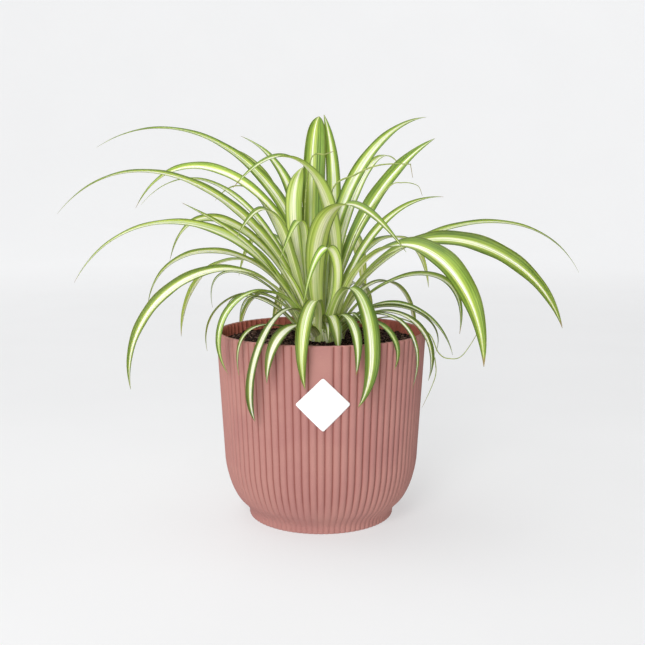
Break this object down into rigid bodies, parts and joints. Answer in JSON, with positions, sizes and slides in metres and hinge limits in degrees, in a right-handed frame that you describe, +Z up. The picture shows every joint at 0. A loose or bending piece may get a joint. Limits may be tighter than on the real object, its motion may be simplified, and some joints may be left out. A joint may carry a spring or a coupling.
{
  "type": "potted spider plant",
  "caption": "Fluted round pot filled with soil and planted with a spider plant, whose long striped leaves arch out on every side and hang over the rim.",
  "frame": {"origin": "centre of the pot's foot, on the surface that the pot stands on", "axes": "+Z up; the label and the front face -Y; +X to the right of someone who looks at the front"},
  "size_m": [0.4745, 0.3594, 0.3613],
  "materials": {
    "pot": "fine matte, dusty rose",
    "label": "smooth white, blank",
    "soil": "dark crumbly potting soil",
    "crown": "pale green, satin",
    "leaf": "green with a cream stripe, satin"
  },
  "bodies": {
    "root": {"pot": "pot", "label": "label", "soil": "soil", "crown": "crown", "leaf_left_high": "leaf", "leaf_left_longest": "leaf", "leaf_left_long": "leaf", "leaf_left_droop": "leaf", "leaf_left_point": "leaf", "leaf_left_arch": "leaf", "leaf_left_hook": "leaf", "leaf_left_back_hook": "leaf", "leaf_left_back_arch": "leaf", "leaf_left_loop": "leaf", "leaf_left_low": "leaf", "leaf_front_left_high": "leaf", "leaf_front_left_arch": "leaf", "leaf_front_left_bright": "leaf", "leaf_front_left_short": "leaf", "leaf_front_left_over_rim": "leaf", "leaf_front_left_small": "leaf", "leaf_front_left_long": "leaf", "leaf_front_left_short_hang": "leaf", "leaf_front_left_low": "leaf", "leaf_front_hang": "leaf", "leaf_front_curl": "leaf", "leaf_front_arch": "leaf", "leaf_front_right_hang": "leaf", "leaf_front_right_low": "leaf", "leaf_right_droop": "leaf", "leaf_right_big": "leaf", "leaf_right_long": "leaf", "leaf_right_hook": "leaf", "leaf_right_low": "leaf", "leaf_right_low_back": "leaf", "leaf_right_over_rim": "leaf", "leaf_right_front_rim": "leaf", "leaf_right_up": "leaf", "leaf_right_up_broad": "leaf", "leaf_right_back_high": "leaf", "leaf_right_back_arch": "leaf", "leaf_back_tall": "leaf", "leaf_back_tall_right": "leaf", "leaf_back_upright": "leaf", "leaf_back_left_high": "leaf", "leaf_back_left_up": "leaf", "leaf_back_left_thin": "leaf", "leaf_back_droop": "leaf", "leaf_back_long": "leaf", "leaf_back_broad": "leaf", "leaf_back_arch": "leaf", "leaf_back_right_arch": "leaf", "leaf_back_left_droop": "leaf", "leaf_back_right_low": "leaf", "leaf_back_low": "leaf", "leaf_back_hang": "leaf", "leaf_back_left_hang": "leaf", "leaf_back_left_low": "leaf", "leaf_left_back_low": "leaf", "offset_front": "leaf"}
  },
  "joints": []
}
